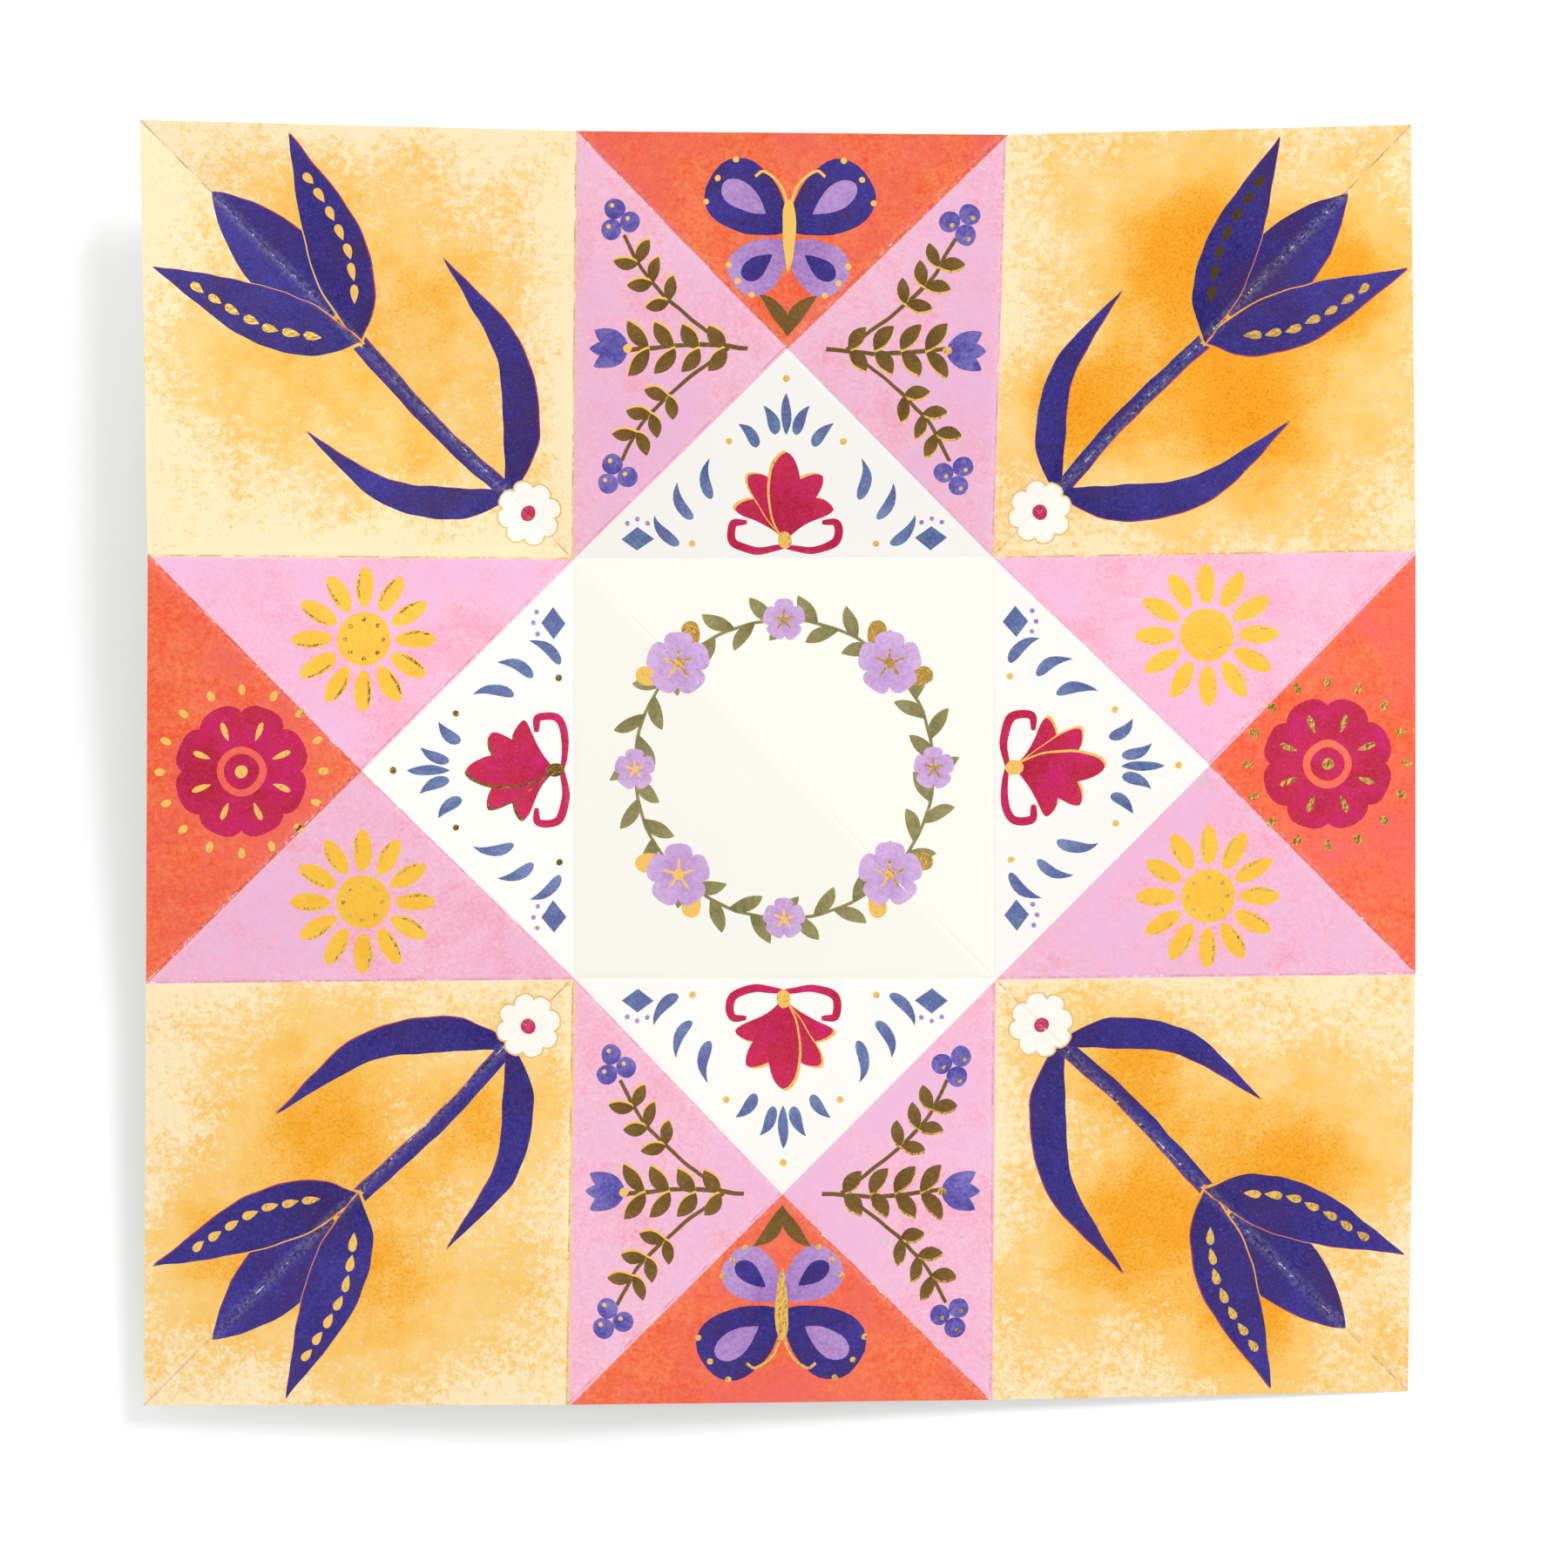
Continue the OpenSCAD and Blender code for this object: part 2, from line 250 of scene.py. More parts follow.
def sprayed(name):
    """Gold ink dabbed on with a sponge: golden yellow, bare cream where the sponge missed, and orange
    round the motif, where a second coat was sprayed on in fine drops."""
    material, tree, surface, place = started(name, 0.5, 1.45)
    surface.inputs["Specular IOR Level"].default_value = SUNK
    grained(tree, surface, place, 0.03)
    spray = add(tree, "ShaderNodeAttribute", {}, attribute_name="spray").outputs["Fac"]
    wash = add(tree, "ShaderNodeTexNoise", {"Vector": place, "Scale": 1 / (9 * MM), "Detail": 6.0,
                                            "Roughness": 0.7})
    drops = add(tree, "ShaderNodeTexNoise", {"Vector": place, "Scale": 1 / (0.5 * MM), "Detail": 3.0,
                                             "Roughness": 0.8})
    sponge = add(tree, "ShaderNodeTexNoise", {"Vector": place, "Scale": 1 / (1.3 * MM), "Detail": 3.0,
                                              "Roughness": 0.8})
    dabbed = add(tree, "ShaderNodeTexNoise", {"Vector": place, "Scale": 1 / (26 * MM), "Detail": 4.0,
                                              "Roughness": 0.6})
    hue = add(tree, "ShaderNodeMapRange", {"Value": wash, "From Min": 0.35, "From Max": 0.65})
    hue = add(tree, "ShaderNodeMix", {0: hue, 6: colour("#fdd68a"), 7: colour("#fcc662")}, data_type="RGBA")
    coat = add(tree, "ShaderNodeMath", {0: wash, 1: 0.9, 2: spray}, operation="MULTIPLY_ADD")
    coat = add(tree, "ShaderNodeMath", {0: drops, 1: 0.9, 2: coat}, operation="MULTIPLY_ADD")
    thin = add(tree, "ShaderNodeMapRange", {"Value": coat, "From Min": 1.05, "From Max": 1.7})
    hue = add(tree, "ShaderNodeMix", {0: thin, 6: hue, 7: colour("#fcba38")}, data_type="RGBA")
    coat = add(tree, "ShaderNodeMapRange", {"Value": coat, "From Min": 1.35, "From Max": 2.15})
    hue = add(tree, "ShaderNodeMix", {0: coat, 6: hue, 7: colour("#f89c0c")}, data_type="RGBA")
    deep = add(tree, "ShaderNodeMapRange", {"Value": drops, "From Min": 0.5, "From Max": 0.66})
    deep = add(tree, "ShaderNodeMath", {0: deep, 1: coat}, operation="MULTIPLY")
    hue = add(tree, "ShaderNodeMix", {0: deep, 6: hue, 7: colour("#e58403")}, data_type="RGBA")
    missed = add(tree, "ShaderNodeMath", {0: sponge, 1: 1.15, 2: dabbed}, operation="MULTIPLY_ADD")
    missed = add(tree, "ShaderNodeMath", {0: spray, 1: -0.35, 2: missed}, operation="MULTIPLY_ADD")
    missed = add(tree, "ShaderNodeMath", {0: drops, 1: 0.3, 2: missed}, operation="MULTIPLY_ADD")
    missed = add(tree, "ShaderNodeMapRange", {"Value": missed, "From Min": 1.21, "From Max": 1.45,
                                              "To Max": 0.95})
    hue = add(tree, "ShaderNodeMix", {0: missed, 6: hue, 7: colour("#feecc2")}, data_type="RGBA")
    # The gold's folds: worn and flaked, with a brown line of painted shade in the crease.
    hue = worn_and_crease_shaded(tree, place, hue, "#a8641f", 0.12)
    tree.links.new(hue.outputs[2], surface.inputs["Base Color"])
    return material


def bare_paper(name, pale, deep):
    """Uncoated paper with no ink on it, faintly cloudy."""
    material, tree, surface, place = started(name, 0.85, 1.4)
    grained(tree, surface, place, 0.02)
    cloudy = add(tree, "ShaderNodeTexNoise", {"Vector": place, "Scale": 1 / (20 * MM), "Detail": 3.0})
    hue = add(tree, "ShaderNodeMix", {0: cloudy, 6: colour(pale), 7: colour(deep)}, data_type="RGBA")
    tree.links.new(hue.outputs[2], surface.inputs["Base Color"])
    return material


# Thin gold ink: cloudy yellow that breaks up into cream, and glows orange in the middle of a cell.
gold_spray = sprayed("sponged_gold_ink")
# Coral gouache, brushed on dry: a gritty orange red that turns to salmon in patches. Dark red is painted shade
# in its folds.
coral = ink("coral_ink", "#f45228", "#fc8659", flecks=0.1, crease_shade_hue="#c8402f", turned="#f4685f", patch=34,
            grit=2.2)
# Pink gouache, thinned: soft clouds of rose and orchid, with a rare mint spot. Deep rose is painted shade in
# its folds.
pink = ink("pink_ink", "#f6a3c0", "#fdd0e2", flecks=0.15, crease_shade_hue="#d9799f", turned="#f2bade", patch=22,
           blots="#9fd8bd")
# Uncoated printing paper: dead matt, nearly white, and a little creamier in the middle and on the back.
white = bare_paper("white_printing_paper", "#fefdf9", "#fbf8f0")
ivory = bare_paper("ivory_ground_paper", "#fdfbf2", "#faf8ec")
back = bare_paper("uncoated_paper_back", "#fbfaf6", "#f6f4ee")

corner = complex(-HALF - BLEED, HALF + BLEED)
lay(gold_spray, [corner * turn for turn in side_turns()][::-1])
for turn in side_turns():
    cell = (CELL * 1j * turn, turn)
    out = INNER + BLEED
    lay(pink, [-INNER - INNER * 1j, INNER - INNER * 1j, INNER + out * 1j, -INNER + out * 1j], cell)
    lay(coral, [0, out + out * 1j, -out + out * 1j], cell)
    lay(white, [0, -INNER - INNER * 1j, INNER - INNER * 1j], cell)
lay(ivory, [INNER * complex(x, y) for x, y in ((-1, -1), (1, -1), (1, 1), (-1, 1))])

# The corner tulips: one big folk tulip across the fold of each gold corner, in violet, with a white
# daisy at its foot. Its rows of drops are hot foil, pressed on after the ink.
def smooth(points, steps=14):
    """A smooth open line through the points."""
    points = np.asarray(points, complex)
    ends = np.concatenate([[2 * points[0] - points[1]], points, [2 * points[-1] - points[-2]]])
    t = np.arange(steps) / steps
    line = []
    for a, b, c, d in zip(ends, ends[1:], ends[2:], ends[3:]):
        curve = (a - 2.5 * b + 2 * c - d / 2) * t**2 + (1.5 * (b - c) + (d - a) / 2) * t**3
        line.append(b + (c - a) / 2 * t + curve)
    return np.concatenate(line + [points[-1:]])


def widened(line, half):
    """The outline round a line with this half width at each of its points."""
    along = np.gradient(line)
    across = 1j * along / abs(along) * half
    return np.concatenate([line + across, (line - across)[::-1]])


def petal(root, tip, width, fat=0.6, point=0.5, bend=0.0):
    """A petal or leaf from root to tip. fat and point are near 0.5 for a round end and 1 for a sharp one."""
    steps = 8 + round(0.45 * abs(tip - root))
    t = (1 - np.cos(np.linspace(0.02, 0.98, steps) * math.pi)) / 2
    widest = (fat / (fat + point)) ** fat * (point / (fat + point)) ** point
    half = width / 2 * t**fat * (1 - t) ** point / widest
    line = root + (tip - root) * (t + 1j * bend * 4 * t * (1 - t))
    return widened(line, half)


def stroke(points, width, taper=0.0):
    """A brush stroke through the points, which thins to its ends if taper is above 0."""
    line = smooth(points)
    t = np.linspace(0.02, 0.98, len(line))
    return widened(line, width / 2 * (4 * t * (1 - t)) ** taper)


def dab(middle, width, length=None, lean=1j):
    """A round dab of the brush, or an oval one with its length along lean."""
    angles = np.linspace(0, 2 * math.pi, 10 + round(2.2 * width), endpoint=False)
    return middle + ((length or width) * np.cos(angles) + 1j * width * np.sin(angles)) / 2 * lean


def mirrored(line):
    """The line on the other side of the motif's middle."""
    return -np.conj(np.asarray(line, complex))


def pointing(degrees):
    """The unit step in a direction, in degrees from the motif's right."""
    return cmath.rect(1, math.radians(degrees))


# Violet gouache, laid thick: deep and even, duller in patches, and pale where a fold has worn it. Near black
# is painted shade in its folds.
violet = ink("violet_ink", "#281e6c", "#463a98", roughness=0.42, flecks=0.11, crease_shade_hue="#1d1838",
             turned="#402a66", patch=16)
# The red and the ochre that show as a hairline where two colours were printed a little apart.
fringe = ink("violet_edge_ink", "#8c2f5e", "#a8456c")
cream_line = ink("pale_ochre_ink", "#e5b96c", "#f0cf90")
# White gouache: opaque, and warmer than the paper.
daisy_white = ink("white_gouache", "#fbf7ea", "#fffdf6", flecks=0.0)
# Magenta gouache: crimson that turns to fuchsia from stroke to stroke. Dark crimson is painted shade in its
# folds.
magenta = ink("magenta_ink", "#b01138", "#d02b52", flecks=0.1, crease_shade_hue="#7c1236", turned="#d01f6c",
              patch=6)


def foil_leaf(name):
    """Hot-stamped gold foil: thin bright metal that takes the grain of the paper under it."""
    material, tree, surface, place = started(name, 0.2, 1.5)
    surface.inputs["Metallic"].default_value = 1.0
    surface.inputs["Base Color"].default_value = colour("#fac867")
    pits = add(tree, "ShaderNodeTexNoise", {"Vector": place, "Scale": 1 / (0.8 * MM), "Detail": 2.0})
    bump = add(tree, "ShaderNodeBump", {"Height": pits, "Distance": 0.07 * MM, "Strength": 1.0})
    tree.links.new(bump.outputs["Normal"], surface.inputs["Normal"])
    return material


foil = foil_leaf("hot_stamped_gold_foil")


def edged(outline, cell, wash):
    """A violet shape with the red edge of a colour printed a hair beside it."""
    lay(fringe, outline + 0.22 - 0.12j, cell)
    lay(violet, outline, cell, wash)


def two_edged(outer, inner):
    """The outline between an outer and an inner edge, both from root to tip."""
    return np.concatenate([smooth(outer), smooth(inner)[::-1][1:]])


def corner_tulip(cell):
    """Stem, sweeping leaves, cupped bloom, foil drops and the daisy at the foot, in mm from the middle
    of the cell, with the bloom along the imaginary axis and towards the sheet's corner."""
    foot, neck = -38j, 3j
    edged(stroke([foot, -1.1 - 20j, neck + 3j], 2.8), cell, None)
    for side, size in ((1, 1.0), (-1, 0.88)):
        outer = [foot, foot + 11.5 + 5j, foot + 20.5 + 19j, foot + 21 + 39j]
        inner = [foot + 0.6 + 2.6j, foot + 8 + 10.6j, foot + 15.8 + 20.6j, foot + 21 + 39j]
        leaf_edges = [foot + size * (np.array(edge) - foot) for edge in (outer, inner)]
        outline = two_edged(*leaf_edges)
        tip = leaf_edges[0][-1]
        if side < 0:
            outline, tip = mirrored(outline), mirrored(tip)
        edged(outline, cell, [foot, tip])
    edged(petal(neck + 4j, 37j, 13, 0.6, 0.9), cell, [neck, 37j])
    for side in (1, -1):
        outer = [neck - 2.5j, 8 + 4.8j, 14.4 + 16j, 17 + 35j]
        inner = [neck, 2 + 12.5j, 7.8 + 23j, 17 + 35j]
        outline = two_edged(outer, inner)
        gap = outline + (outline - (9 + 17j)) * 0.05
        drops = smooth([5.2 + 7j, 9.8 + 13j, 12.3 + 20j, 13.9 + 27j])[::7]
        tip = outer[-1]
        if side < 0:
            outline, gap, drops, tip = (mirrored(line) for line in (outline, gap, drops, tip))
        lay(gold_spray, gap, cell)
        edged(outline, cell, [neck, tip])
        for step, drop in enumerate(drops):
            lean = pointing(90 - (40 - 6 * step) * side)
            lay(foil, petal(drop - 1.4 * lean, drop + (1.9 - 0.12 * step) * lean, 1.5, 1, 0.5), cell)
    eye = -42j
    for ring, width, hue in ((6.0, 4.1, cream_line), (5.7, 3.5, daisy_white)):
        for k in range(8):
            way = pointing(45 * k + 12)
            lay(hue, petal(eye + 0.8 * way, eye + ring * way, width, 0.7, 0.4), cell)
    lay(magenta, dab(eye, 2.8), cell)


for turn in side_turns():
    corner_tulip((complex(-CELL, CELL) * turn, pointing(45) * turn))

# The butterflies on the far and near coral points, in lilac over violet with foil bodies.
# Two umber leaves spring from the fold crossing below each.
# Lilac gouache, paler at the end of each stroke, and brown gouache, nearly black beside the foil.
lilac = ink("lilac_ink", "#9c69b8", "#c29ed6", flecks=0.15)
umber = ink("olive_umber_ink", "#64481a", "#84652e", flecks=0.15)


def butterfly(cell):
    """Two wings a side, each with a spot and foil dots at its edge, a foil body, and the leaves."""
    waist = 20j
    for side in (1, -1):
        for root, tip, width, hue, inner in (
            (waist + 1j, waist + 17.5 * pointing(38), 12.5, violet, lilac),
            (waist - 1j, waist + 13.0 * pointing(-42), 9.5, lilac, violet),
        ):
            wings = [petal(root, tip, width, 0.8, 0.42),
                     petal(root * 0.7 + tip * 0.3, root * 0.15 + tip * 0.85, width * 0.38, 0.9, 0.5)]
            axis = np.array([root, tip])
            if side < 0:
                wings, axis = [mirrored(w) for w in wings], mirrored(axis)
            lay(hue, wings[0], cell, axis)
            lay(inner, wings[1], cell, axis)
            edge = [root + (tip - root) * 0.93 * pointing(a) for a in (-17, 0, 17)]
            for spot in edge:
                lay(foil, dab(spot if side > 0 else -spot.conjugate(), 1.1), cell)
        feeler = [waist + 5j, waist + 1.6 * side + 9j, waist + 4.5 * side + 11.5j, waist + 6.2 * side + 10.6j]
        lay(foil, stroke(feeler, 0.5), cell)
        lay(umber, petal(2j, 5.2 * side + 9.5j, 2.6, 1, 1, 0.12 * side), cell, [2j, 5.2 * side + 9.5j])
    lay(foil, petal(waist - 6.5j, waist + 6.5j, 2.4, 0.8, 0.45), cell)


for turn in side_turns()[::2]:
    butterfly((CELL * 1j * turn, turn))

# The rosettes on the left and right coral points: eight magenta petals, painted before the foil was
# stamped on them and in a ring round them.
def rosette(cell):
    """Petals with a foil stroke each, a coral ring in the middle, and the outer ring of foil dabs."""
    eye = 21.5j
    for k in range(8):
        way = pointing(45 * k + 22.5)
        lay(magenta, petal(eye + 1.5 * way, eye + 12 * way, 8.6, 0.8, 0.4), cell)
        lay(foil, petal(eye + 6 * way, eye + 9.4 * way, 1.1, 0.9, 0.5), cell)
    lay(coral, dab(eye, 8.8), cell)
    lay(magenta, dab(eye, 6.2), cell)
    lay(foil, dab(eye, 2.2), cell)
    for k in range(16):
        way = pointing(22.5 * k)
        lay(foil, dab(eye + 14.6 * way, 1.3, 2.0, way), cell)


for turn in side_turns()[1::2]:
    rosette((CELL * 1j * turn, turn))

# The berry branches on the pink points of the far and near cells: umber leaves edged with foil,
# and blue-violet berries in threes.
# Blue-violet gouache in single dabs, each dark on one side and pale on the other.
berry_blue = ink("blue_violet_ink", "#5246a2", "#8b80c8", flecks=0.2, turned="#4b3f9c", patch=4)


def leaf(root, tip, width, cell):
    """An umber leaf with foil showing along one edge."""
    lay(foil, petal(root, tip, width, 0.9, 0.9, 0.06) + 0.42, cell)
    lay(umber, petal(root, tip, width, 0.9, 0.9, 0.06), cell, [root, tip])


def branch(cell):
    """A straight stem between two bent stalks, with leaves in pairs, berries and a closed bud."""
    lay(umber, stroke([7j, 0.7 + 17j, -0.4 + 29j], 0.8), cell)
    for k in range(4):
        root = (11 + 4.6 * k) * 1j
        for side in (1, -1):
            leaf(root, root + (5 + 0.4 * k) * pointing(90 - 52 * side), 2.7, cell)
    for side in (1, -1):
        stalk = [10.5j, 6.5 * side + 19j, 13 * side + 25.5j, 20 * side + 29.5j]
        lay(umber, stroke(stalk, 0.7), cell)
        line = smooth(stalk)
        for at in (18, 25, 32):
            way = (line[at + 1] - line[at]) / abs(line[at + 1] - line[at])
            for lean in (55, -55):
                leaf(line[at], line[at] + 4.6 * way * pointing(lean), 2.3, cell)
        for degrees in (20, 140, 260):
            berry = stalk[-1] + 2.6 * side + 1j + 2.1 * pointing(degrees)
            lay(berry_blue, dab(berry, 3.7), cell, [berry - 2, berry + 2])
            lay(foil, dab(berry + 0.6 + 0.5j, 0.8), cell)
    for degrees in (62, 90, 118):
        way = pointing(degrees)
        lay(berry_blue, petal(28.5j, 28.5j + 7 * way, 3.4, 0.7, 0.8), cell, [28.5j, 28.5j + 7 * way])
    lay(foil, dab(28.6j, 1.6), cell)


for turn in side_turns()[::2]:
    for side in (1j, -1j):
        branch((CELL * 1j * turn, turn * side))

# The golden daisies on the pink points of the left and right cells: flat yellow with a foil line
# down each petal.
# Yellow gouache: flat and warm, the most even ink on the sheet.
yellow = ink("yellow_ink", "#fbb82e", "#fdd050", flecks=0.1)


def golden_daisy(cell):
    """Twelve petals round a wide eye with a ring of foil dots."""
    eye = 23.5j
    for k in range(12):
        way = pointing(30 * k)
        lay(yellow, petal(eye + 5.6 * way, eye + 13 * way, 3.3, 0.6, 0.6), cell)
        edge = way * 0.9j
        lay(foil, stroke([eye + 7.4 * way + edge, eye + 9.6 * way + 1.3 * edge, eye + 12 * way + edge],
                         0.5, 0.5), cell)
    lay(yellow, dab(eye, 9.6), cell)
    for k in range(8):
        lay(foil, dab(eye + 3.4 * pointing(45 * k), 0.9), cell)


for turn in side_turns()[1::2]:
    for side in (1j, -1j):
        golden_daisy((CELL * 1j * turn, turn * side))

# The palmettes on the white points: a magenta fan edged with foil, with blue comma strokes and
# small blue lozenges beside it.
# Blue watercolour: greyish and uneven, so that the paper shows through in specks.
blue = ink("blue_ink", "#485c94", "#7b8eb8", flecks=0.3, turned="#5c629e", patch=5)


def comma(root, tip, cell, bend):
    """One bent stroke of a round brush, sharp at its root and blunt at its tip."""
    lay(blue, petal(root, tip, 2.1, 1.0, 0.5, bend), cell, [root, tip])


def palmette(cell):
    """The fan on two curled ends, the comma strokes over it, and a lozenge on each side."""
    foot = 34.5j
    leaves = ((58, 10.5, 4.2), (-58, 10.5, 4.2), (30, 13.5, 5), (-30, 13.5, 5), (0, 16, 5.6))
    for degrees, length, width in leaves:
        tip = foot + length * pointing(degrees - 90)
        bend = -0.004 * degrees
        lay(foil, petal(foot, tip, width, 0.8, 0.6, bend) + 0.45 - 0.3j, cell)
        lay(magenta, petal(foot, tip, width, 0.8, 0.6, bend), cell, [foot, tip])
    for side in (1, -1):
        curl = [foot + 1.2j, foot + 5 * side + 1.9j, foot + 9.2 * side + 0.4j, foot + 9.4 * side - 3j,
                foot + 6.8 * side - 3.4j]
        lay(magenta, stroke(curl, 1.5, 0.3), cell)
        strokes = ((13.2 + 27j, 13.6 + 19.6j), (16.6 + 30.5j, 19.4 + 24j), (19.0 + 35.2j, 23.4 + 29.8j),
                   (1.9 + 15.4j, 4.2 + 10.2j), (5.2 + 17.6j, 8.6 + 13.4j))
        for root, tip in strokes:
            bend = 0.15 if tip.real > 10 else -0.12
            if side < 0:
                root, tip, bend = mirrored(root), mirrored(tip), -bend
            comma(tip, root, cell, -bend)
        gem = complex(26.5 * side, 34.2)
        lay(blue, [gem + 2.9, gem + 2.2j, gem - 2.9, gem - 2.2j], cell)
        for k in (-1, 0, 1):
            lay(lilac, dab(gem + 1.9 * k - (3.6 - 0.7 * abs(k)) * 1j, 0.9), cell)
        for spot in (complex(10.2, 16.6), complex(16.6, 35.2)):
            lay(foil, dab(spot if side > 0 else mirrored(spot), 1.2), cell)
    lay(blue, petal(15.5j, 8j, 1.8, 0.8, 0.8), cell)
    lay(foil, dab(5.4j, 1.3), cell)
    lay(foil, dab(foot, 2.6, 3.2), cell)


for turn in side_turns():
    palmette((CELL * 1j * turn, -turn))

# The wreath in the middle cell: a ring of olive leaves on a thin vine, with lilac blossoms
# and foil buds. The paper inside it is left free for writing.
# Olive gouache, dry and grey, and lilac gouache thinned until the paper lightens it.
olive = ink("olive_ink", "#777040", "#9f9764", flecks=0.2)
pale_lilac = ink("pale_lilac_ink", "#b78cca", "#dab6e2", flecks=0.15)


def blossom(eye, size, cell):
    """Five round petals with a foil vein in each."""
    for k in range(5):
        way = pointing(72 * k + 18)
        lay(pale_lilac, petal(eye + 0.4 * way, eye + 5 * size * way, 4.6 * size, 0.8, 0.35), cell,
            [eye, eye + 5 * size * way])
    for k in range(5):
        way = pointing(72 * k + 18)
        vein = [eye + 0.6 * way, eye + 1.6 * size * way, eye + 2.5 * size * way]
        lay(foil, stroke(vein, 0.5, 0.4), cell)
    lay(foil, dab(eye, 1.7 * size), cell)


def wreath(cell):
    """The vine, its leaves, the large blossoms with two buds each, and the small ones between."""
    ring = 27
    turns = np.linspace(0, 2 * math.pi, 97)[:-1]
    lay(olive, ring * np.exp(1j * turns) * 1.011, cell)
    lay(ivory, ring * np.exp(1j * turns) * 0.989, cell)
    for k in range(44):
        way = pointing(360 / 44 * k + 3)
        side = 1 if k % 2 else -1
        root = ring * way
        tip = root + 6.4 * way * pointing(90 - 42 * side)
        lay(olive, petal(root, tip, 2.6, 0.9, 0.9, 0.07 * side), cell, [root, tip])
    for k in range(4):
        way = pointing(90 * k + 45)
        for side in (1, -1):
            root = ring * way * pointing(9 * side)
            lay(foil, petal(root, root + 5.2 * way * pointing(28 * side), 3.4, 0.9, 0.5), cell)
        blossom(ring * way, 1.15, cell)
        blossom(ring * pointing(90 * k), 0.75, cell)


wreath((0, 1))

# The paper itself: the print is cut out of the flat sheet along its outlines and folds, and the flat
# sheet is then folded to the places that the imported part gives, with a slight swell in each panel.
# Its mesh is made in code, because no primitive can be cut along the print. Solidify makes it paper.
FOLD_STEPS = [0, 0.25, -0.25, 0.7, -0.7, 1.8, -1.8]  # how far off each fold its rows of points lie
GRID = 3.0  # from point to point inside the panels
CLEAR = 0.4 * GRID  # and at least from such a point to the lines of the print
RIM = 1  # the rim of the sheet that has no such points
MERGED = 1e-4  # points closer than this become one
THICKNESS = 0.16
SWELL = 0.3  # how far the middle of a half cell stands off flat, up or down
GROOVE, GROOVE_WIDTH = 0.07, 0.22  # the pressed line of a fold
LIP, LIP_AT, LIP_WIDTH = 0.035, 0.7, 0.45  # the swollen paper on each side of it
COCKLE = 0.05  # the waves that damp ink left in the paper
GOLD_LOADS = [0.55, 1.1, 0.95, 0.8]  # how much gold each corner got: far left, then clockwise


def stepped(start, end, step=2.0):
    """Points along a straight line, about a step apart."""
    return np.linspace(start, end, max(2, math.ceil(abs(end - start) / step) + 1))


def fold_distance(places):
    """How far each flat place is from the nearest fold."""
    nearest = np.full(len(places), 1e9)
    for start, end in folds:
        way = end - start
        t = np.clip(((places - start) / way).real, 0, 1)
        nearest = np.minimum(nearest, abs(places - start - t * way))
    return nearest


def cut_sheet():
    """The flat sheet cut along its outlines and folds: its places, triangles and topmost print."""
    border = [complex(-HALF, -HALF), complex(HALF, -HALF), complex(HALF, HALF), complex(-HALF, HALF)]
    outlines = [np.concatenate([stepped(a, b)[:-1] for a, b in zip(border, border[1:] + border[:1])])]
    for _, outline, _ in printed:
        outline = outline + PRINT_SLIP
        turned = sum((a.conjugate() * b).imag for a, b in zip(outline, np.roll(outline, -1)))
        outlines.append(outline if turned > 0 else outline[::-1])
    places, edges, faces = [], [], []
    for outline in outlines:
        faces.append(list(range(len(places), len(places) + len(outline))))
        places.extend(outline)
    for start, end in folds:
        across = 1j * (end - start) / abs(end - start)
        for off in FOLD_STEPS:
            line = stepped(start + off * across, end + off * across)
            edges += [(len(places) + k, len(places) + k + 1) for k in range(len(line) - 1)]
            places.extend(line)
    taken = kdtree.KDTree(len(places))
    for k, place in enumerate(places):
        taken.insert((place.real, place.imag, 0), k)
    taken.balance()
    count = int(2 * HALF / GRID)
    for row in range(1, count):
        for column in range(1, count):
            place = complex(column + 0.5 * (row % 2), row) * GRID - complex(HALF, HALF)
            if abs(place.real) < HALF - RIM and taken.find((place.real, place.imag, 0))[2] > CLEAR:
                places.append(place)
    points = [(place.real, place.imag) for place in places]
    found = delaunay_2d_cdt([Vector(p) for p in points], edges, faces, 0, MERGED, True)
    flat = np.array([complex(p[0], p[1]) for p in found[0]])
    kept = [(tuple(face), max(inside) - 1) for face, inside in zip(found[2], found[5]) if 0 in inside]
    return flat, kept


def folded(flat):
    """The places of the printed side once folded, in mm."""
    made = np.zeros((len(flat), 3))
    given = np.zeros(len(flat), bool)
    for number, (corners, standing_corners) in enumerate(zip(panels, panels_standing)):
        a, b, c = corners
        area = ((b - a).conjugate() * (c - a)).imag
        second = ((flat - a).conjugate() * (c - a)).imag / area
        third = ((b - a).conjugate() * (flat - a)).imag / area
        first = 1 - second - third
        inside = (np.minimum(np.minimum(first, second), third) > -MERGED) & ~given
        shares = np.stack([first, second, third], 1)[inside]
        place = shares @ standing_corners
        swell = SWELL * math.sin(2.4 * number + 0.7) * abs(area) / CELL**2
        # 27 times the product of the shares is 1 in the middle of a panel and 0 at its folds.
        place[:, 2] += 27 * shares.prod(1) * swell
        made[inside] = place
        given |= inside
    return made


def relief(flat, fold):
    """The fine relief at the folds: a pressed groove between two swollen lips, and slight cockling."""
    uneven = 0.8 + 0.35 * np.sin(flat.real / 5.3 + 1.3 * np.sin(flat.imag / 7.1))
    groove = -GROOVE * np.exp(-((fold / GROOVE_WIDTH) ** 2))
    groove = groove + LIP * np.exp(-(((fold - LIP_AT) / LIP_WIDTH) ** 2))
    cockle = COCKLE * np.sin(flat.real / 9.1 + 2 * np.sin(flat.imag / 13)) * np.sin(flat.imag / 8.3)
    return uneven * groove + cockle * np.minimum(fold / 4, 1)


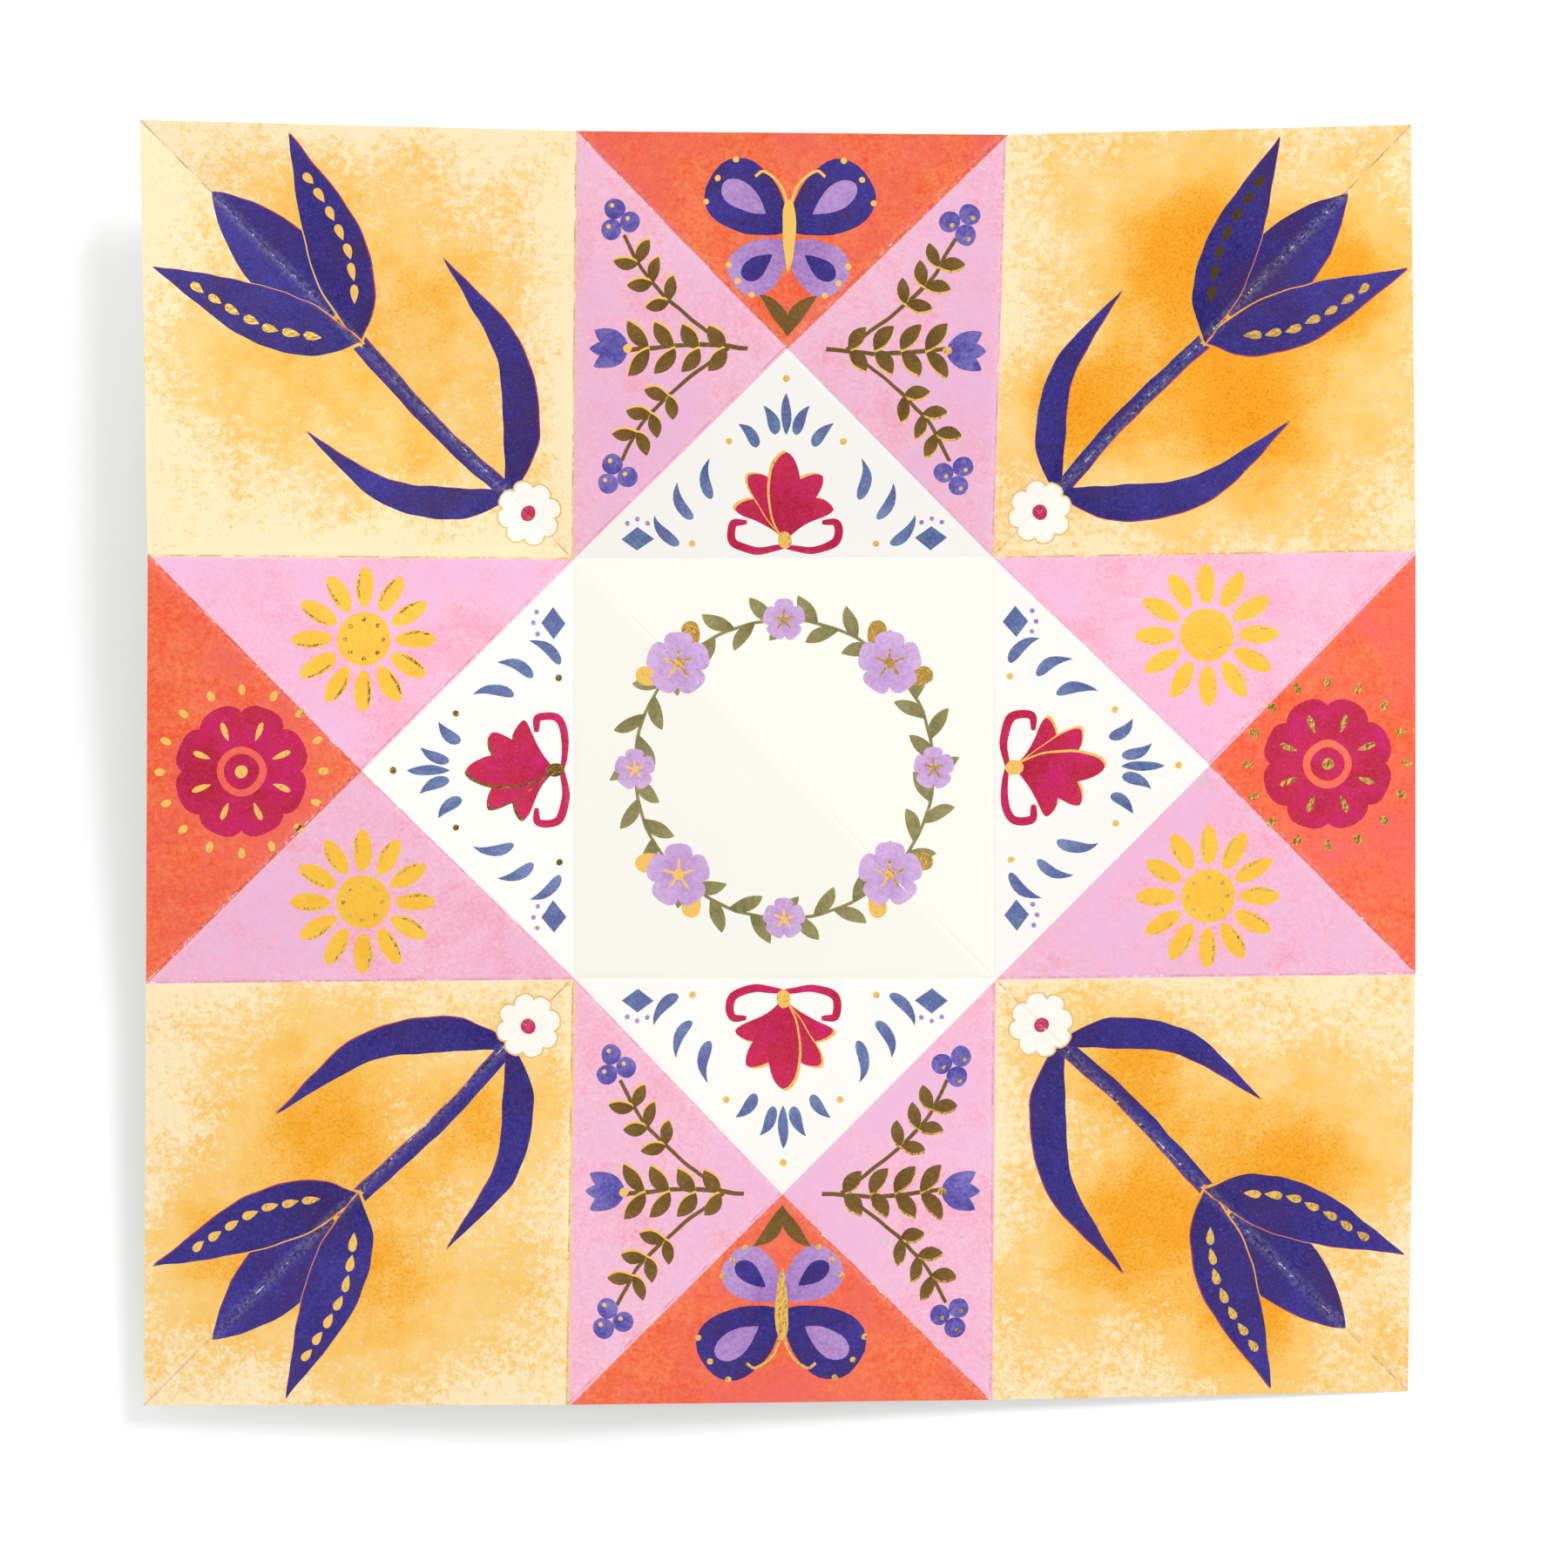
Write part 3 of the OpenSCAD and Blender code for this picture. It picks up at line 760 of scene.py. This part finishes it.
def spray_cloud(flat):
    """How thick the gold lies: thickest beside the corner tulips, and thin at the edges of the cells."""
    cloud = np.zeros(len(flat))
    clouds = ((-13 + 10j, 17), (15 - 4j, 16), (-8 - 25j, 12), (12 + 26j, 12))  # middle and reach, in mm
    for turn, load in zip(side_turns(), GOLD_LOADS):
        place = flat / turn - complex(-CELL, CELL)
        local = place / pointing(45)
        for middle, reach in clouds:
            cloud += load * np.exp(-(abs(local - middle) / reach) ** 2)
        edge = INNER - np.maximum(abs(place.real), abs(place.imag))
        cloud -= np.where(edge >= 0, (1.3 - 0.8 * load) * np.exp(-np.maximum(edge, 0) / 9), 0)
    return np.clip(cloud, -1, 1)


def make_sheet():
    """Cuts, folds and thickens the sheet, gives each face its ink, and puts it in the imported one's place."""
    flat, cut = cut_sheet()
    fold = fold_distance(flat)
    places = folded(flat)
    places[:, 2] += relief(flat, fold)
    mesh = bpy.data.meshes.new("printed_sheet")
    mesh.from_pydata(places * MM, [], [face for face, _ in cut])
    inks = list(dict.fromkeys(hue for hue, _, _ in printed))
    for material in inks + [back]:
        mesh.materials.append(material)
    mesh.polygons.foreach_set("material_index", [inks.index(printed[top][0]) for _, top in cut])
    mesh.attributes.new("fold_mm", "FLOAT", "POINT").data.foreach_set("value", fold)
    mesh.attributes.new("spray", "FLOAT", "POINT").data.foreach_set("value", spray_cloud(flat))
    tones = []  # how far each corner lies along its wash, a little darker or paler from shape to shape
    for face, top in cut:
        wash = printed[top][2]
        shift = 0.12 * math.sin(7.3 * top)
        if wash is None:
            tones += [0.5 + shift] * 3
        else:
            way = wash[1] - wash[0]
            tones += [min(max(((flat[v] - PRINT_SLIP - wash[0]) / way).real, 0), 1) + shift for v in face]
    mesh.attributes.new("tone", "FLOAT", "CORNER").data.foreach_set("value", tones)
    sheet = bpy.data.objects.new("printed_sheet", mesh)
    bpy.context.scene.collection.objects.link(sheet)
    bpy.ops.object.select_all(action="DESELECT")
    bpy.context.view_layer.objects.active = sheet
    sheet.select_set(True)
    wall = sheet.modifiers.new("paper", "SOLIDIFY")
    wall.thickness = THICKNESS * MM
    wall.offset = -1
    wall.material_offset = wall.material_offset_rim = len(inks)
    bpy.ops.object.modifier_apply(modifier="paper")
    bpy.ops.object.shade_smooth_by_angle(angle=math.radians(40))
    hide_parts(SHEET)
    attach(sheet, "root")


make_sheet()

# The table: a sheet of pale board, painted dead matt, under the note. The camera sees it a little
# lighter than it lights the note, as in a white product photograph.
bpy.ops.mesh.primitive_plane_add(size=6)
floor = bpy.context.object
floor.name = "floor"
pale, tree, surface, _ = started("pale_table_board", 0.9, 1.4)
seen = add(tree, "ShaderNodeLightPath", {}).outputs["Is Camera Ray"]
shade = add(tree, "ShaderNodeMix", {0: seen, 6: (0.9, 0.9, 0.9, 1), 7: (1.26, 1.26, 1.26, 1)},
            data_type="RGBA")
tree.links.new(shade.outputs[2], surface.inputs["Base Color"])
surface.inputs["Specular IOR Level"].default_value = 0.0
floor.data.materials.append(pale)

# The light: one soft lamp from the far right, and a white room with a dark right end and a dark camera
# stand overhead, so that foil shows both bright and brown.
LAMP_WAY = (0.5, 0.5, 0.70711)
LAMP_DISTANCE = 1.3
bpy.ops.object.light_add(type="AREA", location=[LAMP_DISTANCE * step for step in LAMP_WAY])
lamp = bpy.context.object
lamp.data.shape = "DISK"
lamp.data.size = 0.55
lamp.data.energy = 7.8
lamp.rotation_euler = (math.pi / 4, 0, math.radians(135))

world = bpy.data.worlds.new("white_room")
bpy.context.scene.world = world
world.use_nodes = True
tree = world.node_tree
way = add(tree, "ShaderNodeTexCoord", {}).outputs["Generated"]
side = add(tree, "ShaderNodeVectorMath", {0: way, 1: (1.0, -0.5, 0.0)}, operation="DOT_PRODUCT")
side = add(tree, "ShaderNodeMapRange", {"Value": side, "From Min": 0.34, "From Max": 0.44,
                                        "To Min": 1.0, "To Max": 0.07}, interpolation_type="SMOOTHSTEP")
rig = add(tree, "ShaderNodeVectorMath", {0: way, 1: (0.02, 0.17, 0.985)}, operation="DISTANCE")
rig = add(tree, "ShaderNodeMapRange", {"Value": rig, "From Min": 0.09, "From Max": 0.15, "To Min": 0.1},
          interpolation_type="SMOOTHSTEP")
wall = add(tree, "ShaderNodeMath", {0: side, 1: rig}, operation="MINIMUM")
path = add(tree, "ShaderNodeLightPath", {})
level = add(tree, "ShaderNodeMix", {0: path.outputs["Is Glossy Ray"], 2: 0.7, 3: wall})
level = add(tree, "ShaderNodeMath", {0: level, 1: path.outputs["Is Camera Ray"]}, operation="MAXIMUM")
tree.links.new(level.outputs[0], tree.nodes["Background"].inputs["Strength"])
tree.nodes["Background"].inputs["Color"].default_value = (1, 1, 1, 1)

# The camera: on a stand straight over the sheet, with the far edge at the top of the picture.
# Its height and lens give the small perspective of the raised corners.
CAMERA_PLACE = (0.0005, -0.0034, 0.622)
bpy.ops.object.camera_add(location=CAMERA_PLACE, rotation=(0, 0, 0))
camera = bpy.context.object
camera.data.lens = 78.9
camera.data.sensor_width = 36
bpy.context.scene.camera = camera
bpy.context.scene.view_settings.view_transform = "Standard"
